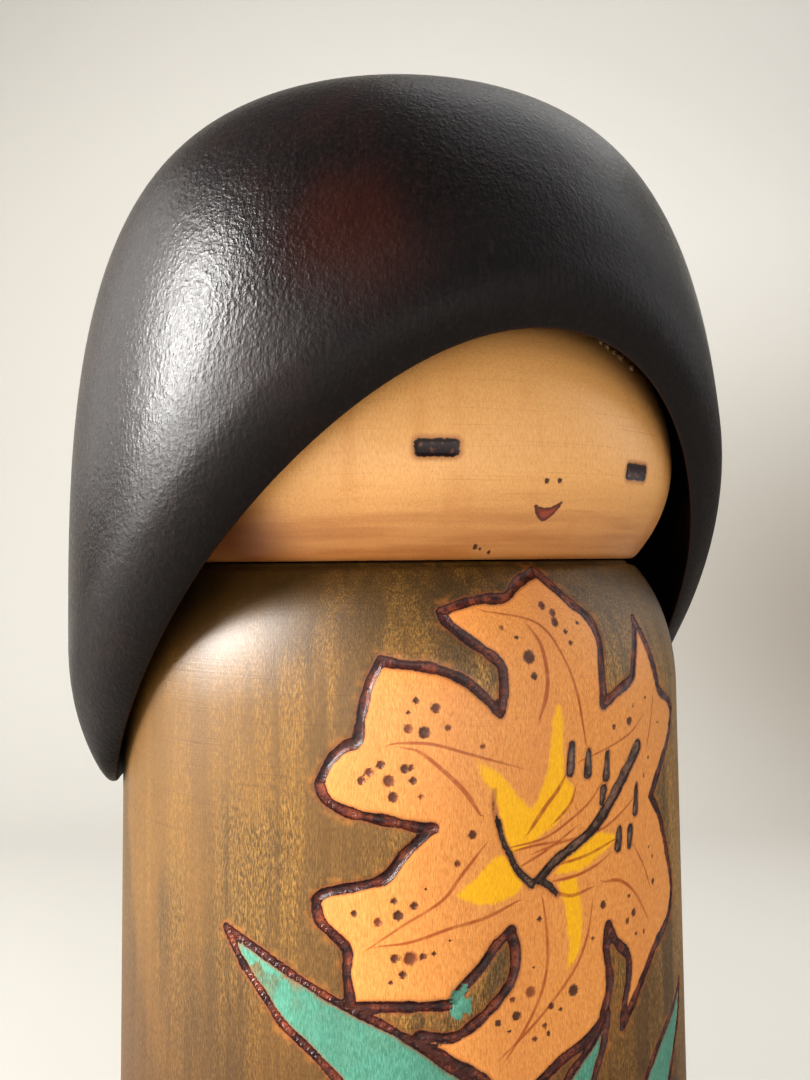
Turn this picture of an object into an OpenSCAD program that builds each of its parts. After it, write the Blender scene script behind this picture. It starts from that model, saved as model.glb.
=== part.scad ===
// Kokeshi doll: a turned wooden body, a turned face ball and a hollow turned hair cap.
// The ball is glued up inside the cap, and a dowel under it stands in a blind socket
// in the body, so the whole head turns about the body's axis.
// Millimetres. +Z is up, the origin is the centre of the body's base, the face looks along -Y.

/* [Body] */
// Height of the body, from the table to the seam under the face
body_h = 145; // [120:1:180]
// Radius of the body where it stands on the table
base_r = 46.6; // [45:0.1:48]
// Radius of the body just under its shoulder
shoulder_r = 45.2; // [43:0.1:46]
// Radius of the flat on top of the body
top_r = 38.1; // [35:0.1:40]
// Height of the rounded shoulder
shoulder_h = 20; // [12:1:26]
// Rounding of the body's bottom edge
base_round = 1.5; // [0.5:0.1:3]

/* [Face ball] */
// Largest radius of the face ball
ball_r = 45; // [43:0.1:45.5]
// Height of the ball's widest ring above the seam
ball_mid = 15; // [12:0.5:18]
// Half height of the ball below its widest ring, before its underside is cut flat
ball_low = 29.6; // [26:0.1:34]
// Half height of the ball above its widest ring, before its top is cut flat
ball_high = 36; // [34:0.5:40]
// Radius of the flat on top of the ball, where it is glued to the cap
ball_flat_r = 14; // [8:1:18]

/* [Hair cap] */
// Largest outer radius of the hair cap
hair_r = 53.5; // [52:0.1:56]
// Height of the cap's widest ring below the seam
hair_mid = 12.6; // [8:0.1:18]
// Height of the crown above the seam
crown = 73.2; // [68:0.1:80]
// Depth of the cap's level rim below the seam, at the back
rim_drop = 35; // [28:0.5:36]
// Radius of the hollow at its widest
hollow_r = 47.7; // [47:0.1:48.2]
// Radius of the hollow at the level rim
mouth_r = 46.2; // [45.9:0.1:46.6]

/* [Face opening] */
// Height above the seam where the opening's upper edge crosses the hollow
brow_z = 30.3; // [26:0.1:34]
// Slope of the sweep at the brow, in degrees from level
sweep_angle = 56.1; // [45:0.1:60]
// Radius of the gentle curve of the sweep, seen from the side
sweep_r = 400; // [250:10:900]
// How far the cap was glued turned from the middle of the face, in degrees
cap_turn = 1.7; // [0:0.1:4]

/* [Neck] */
// Radius of the neck dowel
dowel_r = 7; // [5:0.5:9]
// Length of dowel in the ball, and the same again in the body
dowel_reach = 25; // [18:1:30]
// Clearance around the dowel in the body's socket, so that the head turns
turn_gap = 0.05; // [0.02:0.01:0.1]
// Gap between the face ball and the top of the body
seam_gap = 0.15; // [0.1:0.05:0.3]

/* [Hidden] */
$fn = 96;
steps = 20;
// The shoulder is a quarter ellipse with its top cut off at the flat.
shoulder_rise = shoulder_h * 1.15;
shoulder_run = (shoulder_r - top_r) / (1 - sqrt(1 - pow(shoulder_h / shoulder_rise, 2)));
shoulder_end = asin(shoulder_h / shoulder_rise);
// Where the ellipse of the ball reaches its two flats.
ball_under = asin(ball_mid / ball_low);
ball_over = acos(ball_flat_r / ball_r);
ball_top = ball_mid + ball_high * sin(ball_over);
// Powers that make the cap's outline squarer than an ellipse, up and down.
crown_bulge = [3.52, 2.9];
skirt_bulge = [2.43, 2.07];
// Depth at which the outline of the skirt would close on the axis.
skirt_h = 41.8;
// The hollow is a cylinder that closes in a dome from here up.
dome_start = 24.5;
hollow_power = 3.9;
socket_spare = 1;
dowel_chamfer = 1;
bead_places = [[19.2, 31, 0.45], [20.6, 30.5, 0.65], [22.4, 29.8, 0.6], [24.2, 29.2, 0.7], [27.6, 27.9, 0.6]];
cut_w = 4 * hair_r;
slack = 1;

function hair_out(z) = z > -hair_mid
    ? hair_r * pow(1 - pow((z + hair_mid) / (crown + hair_mid), crown_bulge[1]), 1 / crown_bulge[0])
    : hair_r * pow(1 - pow((-hair_mid - z) / skirt_h, skirt_bulge[1]), 1 / skirt_bulge[0]);
// Heights that crowd together near the crown, where the outline turns level.
function crown_z(t) = -hair_mid + (crown + hair_mid) * sin(90 * t);
function ball_out(z) = ball_r * sqrt(1 - pow((z - ball_mid) / ball_high, 2));
function dome_z(t) = dome_start + (ball_top - dome_start) * t;
function dome_full() = (ball_top - dome_start)
    / pow(1 - pow((ball_flat_r + 2) / hollow_r, hollow_power), 1 / hollow_power);
function dome_r(z) = hollow_r * pow(1 - pow((z - dome_start) / dome_full(), hollow_power), 1 / hollow_power);

module body_outline() {
    polygon(concat(
        [[0, 0], [base_r - base_round, 0]],
        [for (i = [1 : 3]) let (a = 90 * i / 3)
            [base_r - base_round + base_round * sin(a), base_round - base_round * cos(a)]],
        [for (i = [0 : steps]) let (a = shoulder_end * i / steps)
            [shoulder_r - shoulder_run * (1 - cos(a)), body_h - shoulder_h + shoulder_rise * sin(a)]],
        [[0, body_h]]));
}

module body() {
    color([0.42, 0.33, 0.19])
    difference() {
        rotate_extrude() body_outline();
        translate([0, 0, body_h - dowel_reach - socket_spare])
            cylinder(r = dowel_r + turn_gap, h = dowel_reach + socket_spare + slack);
    }
}

module neck_dowel() {
    color([0.80, 0.64, 0.43])
    translate([0, 0, body_h + seam_gap])
        rotate_extrude() polygon([
            [0, -dowel_reach], [dowel_r - dowel_chamfer, -dowel_reach],
            [dowel_r, dowel_chamfer - dowel_reach],
            [dowel_r, dowel_reach - dowel_chamfer],
            [dowel_r - dowel_chamfer, dowel_reach], [0, dowel_reach]]);
}

module face_ball() {
    color([0.86, 0.66, 0.42])
    translate([0, 0, body_h + seam_gap])
    difference() {
        rotate_extrude() polygon(concat(
            [[0, 0]],
            [for (i = [0 : steps]) let (a = -ball_under * (1 - i / steps))
                [ball_r * cos(a), ball_mid + ball_low * sin(a)]],
            [for (i = [1 : steps]) let (a = ball_over * i / steps)
                [ball_r * cos(a), ball_mid + ball_high * sin(a)]],
            [[0, ball_top]]));
        translate([0, 0, -slack])
            cylinder(r = dowel_r, h = dowel_reach + socket_spare + slack);
    }
}

// Everything above and behind the sweep that opens the cap for the face.
module sweep_side() {
    across = [-sin(sweep_angle), cos(sweep_angle)];
    rotate([0, 0, -cap_turn])
        translate([0, -hollow_r - across[0] * sweep_r, brow_z + across[1] * sweep_r])
            rotate([0, 90, 0]) cylinder(r = sweep_r, h = cut_w, center = true, $fn = 360);
}

module hair_cap() {
    color([0.14, 0.11, 0.10])
    translate([0, 0, body_h + seam_gap])
    intersection() {
        rotate_extrude() polygon(concat(
            [for (i = [0 : steps]) let (z = -rim_drop + (rim_drop - hair_mid) * i / steps) [hair_out(z), z]],
            [for (i = [1 : 2 * steps]) let (z = crown_z(i / (2 * steps))) [i < 2 * steps ? hair_out(z) : 0, z]],
            [[0, ball_top], [ball_flat_r + 2, ball_top]],
            [for (i = [1 : steps]) let (z = dome_z(1 - i / steps)) [dome_r(z), z]],
            [[hollow_r, -slack], [mouth_r, -rim_drop]]));
        sweep_side();
    }
}

// Specks of hardened glue on the ball, just inside the cap: each bead is
// [degrees round from the front, height above the seam, radius].
module glue_beads() {
    color([0.75, 0.62, 0.42])
    translate([0, 0, body_h + seam_gap])
        for (bead = bead_places)
            rotate([0, 0, bead[0] - 90])
                translate([ball_out(bead[1]), 0, bead[1]]) sphere(r = bead[2], $fn = 24);
}

body();
neck_dowel();
face_ball();
hair_cap();
glue_beads();
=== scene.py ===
"""A kokeshi doll: its looks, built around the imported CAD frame.

Metres in Blender. Outlines and profiles below are in millimetres, heights measured from
the seam between the body and the face; +Z is up and the face looks along -Y.
"""
import math

import bmesh
import bpy
import numpy as np
from mathutils import Matrix, Vector


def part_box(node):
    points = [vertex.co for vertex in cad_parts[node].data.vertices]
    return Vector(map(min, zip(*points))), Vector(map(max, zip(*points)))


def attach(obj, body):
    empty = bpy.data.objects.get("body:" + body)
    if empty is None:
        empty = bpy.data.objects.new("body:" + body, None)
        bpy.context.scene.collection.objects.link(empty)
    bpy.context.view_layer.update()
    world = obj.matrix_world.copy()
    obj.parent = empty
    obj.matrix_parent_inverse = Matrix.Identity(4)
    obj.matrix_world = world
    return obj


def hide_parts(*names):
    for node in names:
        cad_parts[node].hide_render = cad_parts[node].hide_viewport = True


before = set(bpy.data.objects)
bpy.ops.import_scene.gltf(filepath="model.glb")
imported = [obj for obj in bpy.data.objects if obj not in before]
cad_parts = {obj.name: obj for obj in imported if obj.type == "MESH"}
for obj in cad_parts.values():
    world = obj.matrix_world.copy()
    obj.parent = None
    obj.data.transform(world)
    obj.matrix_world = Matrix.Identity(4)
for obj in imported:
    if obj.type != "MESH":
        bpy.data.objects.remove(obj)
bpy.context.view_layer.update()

MM = 0.001
SEED = 7


def radius_of(node):
    low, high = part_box(node)
    return (high.x - low.x) / 2 / MM


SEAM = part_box("body")[1].z / MM
HEAD_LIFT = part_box("face_ball")[0].z / MM - SEAM
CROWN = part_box("hair_cap")[1].z / MM - SEAM - HEAD_LIFT
RIM_DROP = SEAM + HEAD_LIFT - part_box("hair_cap")[0].z / MM
BALL_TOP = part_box("face_ball")[1].z / MM - SEAM - HEAD_LIFT
BALL_R = radius_of("face_ball")
HAIR_R = radius_of("hair_cap")
BASE_R = radius_of("body")
DOWEL_R = radius_of("neck_dowel")

# The turned profiles, as in the CAD.
SHOULDER_R, TOP_R, SHOULDER_H = 45.2, 38.1, 20.0
SHOULDER_RISE = SHOULDER_H * 1.15
SHOULDER_RUN = (SHOULDER_R - TOP_R) / (1 - math.sqrt(1 - (SHOULDER_H / SHOULDER_RISE) ** 2))
SOCKET_DEPTH = 26.0
BALL_MID, BALL_LOW, BALL_HIGH = 15.0, 29.6, 36.0
HAIR_MID, SKIRT_H = 12.6, 41.8
HOLLOW_R, MOUTH_R = 47.7, 46.2
DOME_START, HOLLOW_POWER, CEILING_R = 24.5, 3.9, 16.0
BROW_Z, SWEEP_ANGLE, SWEEP_R = 30.3, math.radians(56.1), 400.0
CAP_TURN = math.radians(1.7)
# The outside's two powers above its widest ring and below it, as the CAD has them.
CROWN_BULGE, SKIRT_BULGE = (3.52, 2.9), (2.43, 2.07)
DOME_HALF = (BALL_TOP - DOME_START) / (1 - (CEILING_R / HOLLOW_R) ** HOLLOW_POWER) ** (1 / HOLLOW_POWER)

# Distances are worked out up to FAR; points off the drawn surface are put at NOWHERE.
FAR, NOWHERE = 9.0, 200.0


# ---- curves and distances

def smooth_line(points, step=0.4):
    """Points every step or so along a Catmull-Rom curve through the given points."""
    p = np.array(points, float)
    p = np.vstack([2 * p[0] - p[1], p, 2 * p[-1] - p[-2]])
    out = []
    for a, b, c, d in zip(p[:-3], p[1:-2], p[2:-1], p[3:]):
        n = max(2, int(np.linalg.norm(c - b) / step))
        t = np.linspace(0, 1, n, endpoint=False)[:, None]
        out.append(0.5 * (2 * b + (c - a) * t + (2 * a - 5 * b + 4 * c - d) * t**2
                          + (3 * b - a - 3 * c + d) * t**3))
    return np.vstack([*out, p[-2][None]])


def along(line, pts):
    """For each point: distance to the line, signed side distance, and length run at the nearest place."""
    a, b = line[:-1], line[1:]
    ab = b - a
    length = np.linalg.norm(ab, axis=1)
    start = np.r_[0, np.cumsum(length)[:-1]]
    best = np.full(len(pts), 1e9)
    side = np.full(len(pts), 1e9)
    run = np.zeros(len(pts))
    for i in range(len(a)):
        rel = pts - a[i]
        t = np.clip(rel @ ab[i] / max(length[i] ** 2, 1e-9), 0, 1)
        near = rel - t[:, None] * ab[i]
        d = np.hypot(near[:, 0], near[:, 1])
        closer = d < best
        turn = np.sign(ab[i, 0] * rel[:, 1] - ab[i, 1] * rel[:, 0])
        best = np.where(closer, d, best)
        side = np.where(closer, d * turn, side)
        run = np.where(closer, start[i] + t * length[i], run)
    return best, side, run


def near_box(line, pts, reach):
    lo, hi = line.min(0) - reach, line.max(0) + reach
    return np.where(((pts > lo) & (pts < hi)).all(1))[0]


def inside(polygon, pts):
    x, y = pts[:, 0], pts[:, 1]
    hit = np.zeros(len(pts), bool)
    for (x0, y0), (x1, y1) in zip(polygon, np.roll(polygon, -1, 0)):
        crosses = (y0 > y) != (y1 > y)
        if y1 != y0:
            hit ^= crosses & (x < (x1 - x0) * (y - y0) / (y1 - y0) + x0)
    return hit


def region(outline, pts):
    """Signed distance to a closed outline, negative inside."""
    ring = np.vstack([outline, outline[:1]])
    field = np.full(len(pts), FAR)
    at = near_box(ring, pts, FAR)
    d, _, _ = along(ring, pts[at])
    field[at] = np.minimum(d, FAR) * np.where(inside(outline, pts[at]), -1, 1)
    return field


def ripple(run, seed, pitch):
    """A smooth wobble of about -1 to 1 along a line, with a bump every pitch or so."""
    rng = np.random.default_rng(seed)
    knots = rng.uniform(-1, 1, int(run.max() / pitch) + 4)
    x = run / pitch
    i = x.astype(int)
    f = x - i
    f = f * f * (3 - 2 * f)
    return knots[i] * (1 - f) + knots[i + 1] * f


# ---- the drawing on the body
# (across, height): across is millimetres round the body from the face's middle, to the
# viewer's right; height is millimetres from the seam, so it is negative.

PETAL_EDGES = [
    # the crown petal's right side, and the slim petal beside it
    [(0.5, -1.5), (2, -3), (4.5, -5.5), (7.5, -8), (8.5, -11), (8, -15), (8, -19.5)],
    [(8, -19.5), (11, -18), (14.5, -16.5), (15.5, -14.5), (17, -11.5), (18.5, -8.5)],
    [(18.5, -8.5), (20.5, -12.5), (22, -16.5), (23, -19), (27.5, -21), (29, -22.5)],
    [(29, -22.5), (27, -26), (22.5, -30), (19, -33.5)],
    # the right petal, down to the split beside the bottom petal
    [(19, -33.5), (22, -37), (24.5, -42.5), (26.5, -48), (24.5, -52), (19.5, -54.5), (16, -57.5),
     (10.5, -63)],
    [(10.5, -63), (11, -60), (12, -57), (12, -54), (9.5, -51.5), (8, -49)],
    [(8, -49), (7.5, -52), (8, -56.5), (6.5, -61)],
    # the bottom petal's point, under the leaves
    [(6.5, -61), (3.5, -63), (-0.5, -64.5), (-4.5, -67), (-8, -69)],
    [(-8, -69), (-11.5, -65), (-15.5, -62.5), (-19.5, -60)],
    [(-19.5, -60), (-19.5, -59), (-15.5, -59.5), (-12.5, -58), (-9.5, -55.5), (-7.5, -53), (-7, -50),
     (-7.5, -47)],
    [(-7.5, -47), (-9.5, -48.5), (-11.5, -51), (-14, -53.5), (-15.5, -55.5)],
    # the left petal
    [(-15.5, -55.5), (-21.5, -55.5), (-28, -55.5)],
    [(-28, -55.5), (-28.5, -51.5), (-28.5, -48.5), (-30.5, -46.5), (-32, -45), (-32.5, -42.5)],
    [(-32.5, -42.5), (-31, -41.5), (-26.5, -40.5), (-23.5, -39.5), (-21.5, -37), (-20, -35.5),
     (-17.5, -33.5)],
    # the upper left petal
    [(-17.5, -33.5), (-19.5, -33.3), (-23, -32.5), (-28, -31.5), (-31, -30), (-32, -28)],
    [(-32, -28), (-30.5, -25), (-28.5, -23.2), (-27, -22.5), (-26.5, -19.5), (-25.5, -15.5), (-24, -12.5)],
    [(-24, -12.5), (-21.5, -13), (-17.5, -13.5), (-13.5, -15), (-11, -17), (-8.5, -19.5)],
    # the crown petal's left side
    [(-8.5, -19.5), (-8, -17), (-8, -14), (-9, -12.5), (-12.5, -10), (-15, -8), (-16, -6.5)],
    [(-16, -6.5), (-12.5, -5.5), (-9.5, -5), (-6, -4.8), (-3.5, -3), (0.5, -1.5)],
]

# Each leaf: its left and right edge, from its tip to the foot of the plant.
LEAVES = {
    "left": ([(-45.5, -47.5), (-43, -51.5), (-39.5, -55.5), (-37, -58.5), (-32, -62.5), (-26, -69),
              (-19, -80), (-13, -96), (-8, -118), (-5, -139)],
             [(-45.5, -47.5), (-41, -49.5), (-35, -52.5), (-29, -55.5), (-23.5, -58), (-18, -61.5),
              (-12, -67), (-7.5, -78), (-5, -95), (-3.5, -118), (-2.5, -139)]),
    "middle": ([(7.5, -60.5), (4, -64), (0, -67.5), (-3.5, -74), (-5, -88), (-4, -112), (-2.5, -139)],
               [(7.5, -60.5), (6.5, -64.5), (4.5, -69), (2.5, -78), (1.5, -92), (0, -114), (-0.5, -139)]),
    "right": ([(30, -63), (26, -65.5), (21.5, -67.5), (16, -71.5), (10, -79), (5, -94), (1.5, -116),
               (-0.5, -139)],
              [(30, -63), (28.5, -67.5), (24.5, -73), (19, -82), (12, -97), (5.5, -118), (2, -139)]),
}

PISTIL = [(-3.5, -41), (-1, -39), (2, -37.5), (5, -36), (7.5, -34), (10, -31.5), (12.5, -29), (15.5, -26)]
# Other burnt strokes: points, width at the start, width at the end.
BURNT_STROKES = [
    ([(-9, -33), (-8.5, -35.5), (-7.5, -37.5), (-6.5, -39.5), (-4.5, -41.5)], 0.6, 1.1),
    ([(-9.5, -29), (-9.6, -31.5), (-9, -34)], 0.25, 0.5),
    ([(-3.5, -41), (-2, -42), (-0.8, -43.3)], 1.1, 0.7),
    ([(2.1, -24.3), (1.7, -27.8)], 1.15, 1.35),
    ([(5, -25.4), (4.7, -28.4)], 0.9, 1.35),
    ([(8.6, -26), (8.2, -29.2)], 0.8, 1.45),
    ([(7.6, -30.8), (7.2, -32.6)], 1.25, 0.9),
    ([(15, -31.3), (14.5, -35)], 0.8, 1.3),
    ([(10.7, -36.6), (10.3, -39)], 1.0, 1.5),
    ([(13.2, -37), (12.9, -39.3)], 1.3, 0.9),
]

# Thin painted veins and filaments: points, width at the start, width at the end.
VEINS = [
    ([(-23, -23), (-21.5, -22.8), (-17.5, -23), (-12.5, -24.5), (-6, -26.5)], 0.35, 0.2),
    ([(-21.5, -23.3), (-19, -24), (-16, -26.5), (-13.5, -29), (-11.5, -32)], 0.3, 0.6),
    ([(-10, -6.5), (-4, -7.5), (-1, -9), (1, -12), (3, -17), (4.5, -24.5)], 0.15, 0.35),
    ([(-3.5, -8.5), (-2, -11), (-1.5, -15), (-2, -18), (-3, -20.5)], 0.4, 0.55),
    ([(20.5, -19.5), (19.5, -23), (18, -26.5)], 0.2, 0.2),
    ([(17, -22), (13.5, -24), (8, -25.5), (3.5, -26.5)], 0.15, 0.2),
    ([(-24.5, -48), (-20.5, -47.5), (-15.5, -46), (-11, -45), (-6.5, -43.3)], 0.25, 0.35),
    ([(-26, -48.5), (-21.5, -45.5), (-16.5, -42.5), (-14, -39.5), (-11, -36)], 0.15, 0.4),
    ([(-3, -43.5), (-2.5, -47.5), (-2.5, -52), (-3.5, -55.5), (-5.5, -59), (-8.5, -63)], 0.3, 0.3),
    ([(5, -45.5), (4, -49.5), (2, -53), (-1.5, -56.5), (-5, -59.5), (-9, -62.5)], 0.35, 0.25),
    ([(7, -43), (10.5, -43.5), (14, -46), (17, -50)], 0.4, 0.3),
    ([(14, -39.5), (16.5, -43), (18, -46)], 0.2, 0.2),
    ([(-7, -37), (-4, -36.6), (0, -36.5)], 0.2, 0.3),
    ([(-7.5, -36.5), (-2.5, -35.8), (1.5, -34), (5, -32), (7, -30)], 0.2, 0.25),
    ([(-5, -35), (-2.5, -32), (-0.5, -30), (1, -28)], 0.5, 0.4),
    ([(-4, -37.5), (0, -36.7), (7, -36), (11, -34.5), (14, -33)], 0.25, 0.25),
    ([(-1, -39.5), (4, -39), (9.5, -37.8)], 0.3, 0.25),
    ([(-1.5, -41.5), (2.5, -41.3), (6, -40.5), (8.5, -39.5)], 0.35, 0.2),
    ([(-1, -43), (1.5, -43.8), (5, -43.3)], 0.45, 0.25),
    ([(-6, -39), (-2.5, -37.5), (2.5, -35)], 0.3, 0.2),
    ([(2.5, -30), (1.5, -32), (-1, -34)], 0.3, 0.3),
]

YELLOW_PATCHES = [
    [(-11.5, -25.3), (-10, -26.5), (-8, -28), (-6.5, -30), (-4.5, -32), (-3.5, -31), (-2.5, -29), (-1.5, -26),
     (-1, -21.5), (0, -19), (0.5, -21), (0.5, -27.5), (2, -30.5), (0.5, -33), (-2.5, -35), (-5.5, -36.5),
     (-7, -37), (-8, -35), (-8.5, -32.5), (-9.5, -29.5), (-11, -27.5)],
    [(-14.5, -42), (-11.5, -39.5), (-9, -37.5), (-7.5, -38.5), (-6, -41), (-7.5, -42.7), (-11.5, -43.2)],
    [(-0.5, -42), (0.5, -45), (1, -50), (0.5, -53), (2.5, -50.5), (3, -47), (2.5, -43), (2, -41.5)],
    [(-1, -40.5), (2.5, -38), (6, -36.5), (9.5, -37.5), (7, -39), (2.5, -40.7)],
]

# Burnt and painted spots, petal by petal: (across, height, radius).
SPOTS = [
    (-17, -18.5, 0.7), (-18.5, -21.5, 0.8), (-20.5, -21, 0.65), (-15.5, -21, 0.5), (-19.5, -17.5, 0.5),
    (-20.5, -19, 0.4), (-11, -23.5, 0.45),
    (-26.5, -27.5, 0.6), (-25.5, -26.4, 0.6), (-24, -25.5, 0.6), (-23, -27.5, 0.8), (-22.5, -29.5, 0.7),
    (-21, -26, 0.65), (-20, -25.8, 0.4), (-20, -27.5, 0.55), (-19, -29.5, 0.45), (-12.5, -34.5, 0.6),
    (-14.5, -38, 0.5),
    (-27.5, -44, 0.5), (-24.5, -45, 0.6), (-22, -44.2, 0.7), (-22.5, -42.4, 0.5), (-20, -43, 0.55),
    (-18.5, -41, 0.3), (-22.5, -49.5, 0.6), (-20.5, -49.5, 0.9), (-19, -49.3, 0.5), (-17.6, -49, 0.4),
    (-21.5, -51.5, 0.55), (-23, -52.5, 0.4), (-15.5, -47.5, 0.3),
    (-0.5, -6, 0.6), (1, -7, 0.6), (1, -8.3, 0.6), (2.5, -9.5, 0.45), (3, -11, 0.45), (5, -8.5, 0.4),
    (-7.5, -8.7, 0.4), (-5.5, -10, 0.4), (-4, -12.5, 0.9), (-3.5, -15, 0.55),
    (18, -19.5, 0.4), (14.5, -20.3, 0.35), (15.5, -18.7, 0.25), (13.5, -22.3, 0.65), (10, -22.7, 0.45),
    (22, -23.5, 0.35), (18.5, -28, 0.4), (17, -30.3, 0.4),
    (18, -40.5, 0.35), (19, -42, 0.4), (19, -45.5, 0.5), (18, -43.8, 0.25), (7, -46, 0.6), (12, -49.3, 0.5),
    (13.5, -48.5, 0.6), (14, -51.5, 0.4), (16, -51.7, 0.4), (5, -50, 0.4), (12.5, -46, 0.4),
    (-3.5, -46, 0.45), (-4.5, -52, 0.3), (-5, -55, 0.75), (1.5, -56, 0.8), (-7, -57.7, 0.65),
    (-7.5, -55.6, 0.45),
    (-9.5, -58.3, 0.5), (-8, -59.5, 0.35), (-2, -57.3, 0.5), (-0.6, -58, 0.4), (-3, -59.6, 0.45),
    (-2.5, -60.7, 0.4),
    (-4.5, -61, 0.45),
]
OUTLINE_W, LEAF_W, PISTIL_W = 1.35, 1.15, 2.0
OUTLINE_DEPTH, SPOT_DEPTH = 0.3, 0.12
# A dab of teal over the burnt line in the cleft: across, height, radius, and its flatness.
DAB_X, DAB_Z, DAB_R, DAB_FLAT = -14.4, -55.4, 1.3, 0.6
# The run along a burnt line starts from here for the next line, for the leaves and for the strokes.
NEXT_LINE, LEAF_RUN, STROKE_RUN = 37.0, 500, 900


def ink(lines, pts, seed, wobble=0.18, pitch=1.3):
    """Burnt strokes: how far each point is outside them (negative inside), and the length run along them.

    Each line is (points, start width, end width). The edge swells and pinches with the dabs of the burner."""
    field = np.full(len(pts), FAR)
    run_at = np.zeros(len(pts))
    for n, (points, w0, w1) in enumerate(lines):
        line = smooth_line(points)
        at = near_box(line, pts, FAR)
        d, _, run = along(line, pts[at])
        part = run / max(run.max(), 1e-6)
        half = (w0 + (w1 - w0) * part) / 2 * (1 + wobble * ripple(run, seed + n, pitch))
        edge = np.minimum(d - half, FAR)
        closer = edge < field[at]
        field[at] = np.where(closer, edge, field[at])
        run_at[at] = np.where(closer, run + NEXT_LINE * n, run_at[at])
    return field, run_at


def hairlines(lines, pts, far=3.0):
    """Thin lines, as (signed side distance, plain distance, half width) of the nearest one."""
    best = np.full(len(pts), far)
    out = np.full((len(pts), 3), far)
    out[:, 2] = 0.1
    for points, w0, w1 in lines:
        line = smooth_line(points)
        at = near_box(line, pts, far)
        d, side, run = along(line, pts[at])
        part = run / max(run.max(), 1e-6)
        taper = np.clip(4 * np.minimum(part, 1 - part) + 0.25, 0, 1)
        half = (w0 + (w1 - w0) * part) / 2 * taper
        closer = d < best[at]
        rows = at[closer]
        best[rows] = d[closer]
        out[rows] = np.stack([side, d, half], 1)[closer]
    return out


def layered(lines, gap=1.7):
    """Sorts lines into layers in which no two come nearer than the gap, so each layer's field is clean."""
    layers = []
    for line in lines:
        path = smooth_line(line[0])
        for layer in layers:
            if all(np.linalg.norm(path[:, None] - other[None], axis=2).min() > gap for _, other in layer):
                layer.append((line, path))
                break
        else:
            layers.append([(line, path)])
    return [[line for line, _ in layer] for layer in layers]


def spots(centres, pts):
    """Squared distance over squared radius of the nearest spot: under 1 inside it. And the spot's number."""
    field = np.full(len(pts), FAR)
    which = np.zeros(len(pts))
    for n, (x, y, r) in enumerate(centres):
        at = np.where((abs(pts[:, 0] - x) < 4 * r) & (abs(pts[:, 1] - y) < 4 * r))[0]
        q = ((pts[at] - (x, y)) ** 2).sum(1) / r**2
        closer = q < field[at]
        field[at] = np.where(closer, q, field[at])
        which[at] = np.where(closer, n, which[at])
    return field, which


# ---- turned meshes

def turned_points(profile, angles):
    """Points of a turned surface, row by row, without the profile's two ends, which lie on the axis."""
    r, z = profile[1:-1, 0], profile[1:-1, 1]
    a = np.radians(angles)
    across, ahead = np.outer(r, np.sin(a)), -np.outer(r, np.cos(a))
    return np.stack([across, ahead, np.repeat(z[:, None], len(a), 1)], -1).reshape(-1, 3)


def add_object(name, mesh):
    mesh.polygons.foreach_set("use_smooth", np.ones(len(mesh.polygons), bool))
    obj = bpy.data.objects.new(name, mesh)
    bpy.context.collection.objects.link(obj)
    return obj


def closed_mesh(name, pts, cols, ends, lift):
    """A closed skin over rows of points, its two ends closed on the axis, all raised by the lift."""
    rows = len(pts) // cols
    pts = np.vstack([pts, [0, 0, ends[0]], [0, 0, ends[1]]]) + (0, 0, lift)
    i, j = np.meshgrid(np.arange(rows - 1), np.arange(cols), indexing="ij")
    k = (j + 1) % cols
    quads = np.stack([i * cols + j, i * cols + k, (i + 1) * cols + k, (i + 1) * cols + j], -1).reshape(-1, 4)
    j, k = np.arange(cols), (np.arange(cols) + 1) % cols
    first, last = rows * cols, rows * cols + 1
    low = np.stack([np.full(cols, first), k, j], 1)
    high = np.stack([np.full(cols, last), (rows - 1) * cols + j, (rows - 1) * cols + k], 1)
    mesh = bpy.data.meshes.new(name)
    mesh.from_pydata((pts * MM).tolist(), [], quads.tolist() + low.tolist() + high.tolist())
    return add_object(name, mesh)


def sink(pts, depth):
    """Moves points towards the axis by a depth."""
    pts[:, :2] *= (1 - depth / np.maximum(np.hypot(pts[:, 0], pts[:, 1]), 1))[:, None]


def add_field(obj, name, values):
    values = np.asarray(values, float)
    kind = "FLOAT" if values.ndim == 1 else "FLOAT_VECTOR"
    spare = len(obj.data.vertices) - len(values)
    if values.ndim == 1:
        values = np.r_[values, np.full(spare, values.max())]
    else:
        values = np.vstack([values, np.repeat(values[-1:], spare, 0)])
    layer = obj.data.attributes.new(name, kind, "POINT")
    layer.data.foreach_set("value" if kind == "FLOAT" else "vector", values.ravel())


def spread(*stretches):
    """Values from end to end: each stretch is (from, to, step)."""
    out = []
    for a, b, step in stretches:
        n = max(1, round(abs(b - a) / step))
        out.append(np.linspace(a, b, n, endpoint=False))
    return np.concatenate([*out, [stretches[-1][1]]])


def body_radius(z):
    """Radius of the body at a height from the seam."""
    t = np.clip((z + SHOULDER_H) / SHOULDER_RISE, 0, SHOULDER_H / SHOULDER_RISE)
    shoulder = SHOULDER_R - SHOULDER_RUN * (1 - np.sqrt(1 - t**2))
    wall = SHOULDER_R + (BASE_R - SHOULDER_R) * (-SHOULDER_H - z) / (SEAM - SHOULDER_H)
    return np.where(z < -SHOULDER_H, wall, shoulder)


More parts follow.
